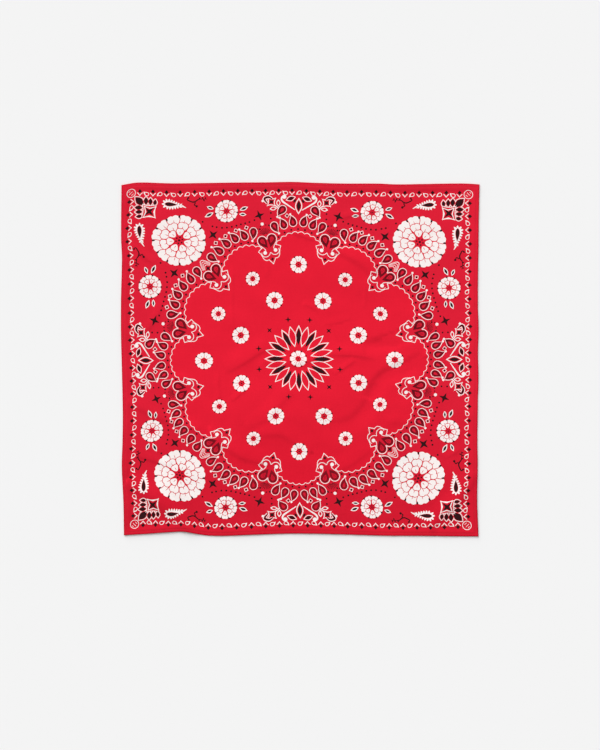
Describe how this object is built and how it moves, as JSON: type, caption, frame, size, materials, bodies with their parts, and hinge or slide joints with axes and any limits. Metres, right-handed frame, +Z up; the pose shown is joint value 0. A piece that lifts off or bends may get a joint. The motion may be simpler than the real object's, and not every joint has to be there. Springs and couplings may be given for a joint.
{
  "type": "cotton bandana laid flat",
  "caption": "Square printed cotton bandana, spread out flat with soft creases and narrow hems, to lie on a table or shelf.",
  "frame": {"origin": "on the surface that the cloth lies on, under the middle of its outline", "axes": "+X to the right across the face, +Y to the upper edge, +Z up from the surface"},
  "size_m": [0.5538, 0.5476, 0.0051],
  "materials": {
    "printed_cotton": "matt plain-weave cotton, red ground printed in white and black",
    "hem_cotton": "matt plain-weave cotton turned twice and sewn with red thread"
  },
  "bodies": {
    "root": {"cloth_panel": "printed_cotton", "hem_top": "hem_cotton", "hem_bottom": "hem_cotton", "hem_left": "hem_cotton", "hem_right": "hem_cotton"}
  },
  "joints": []
}
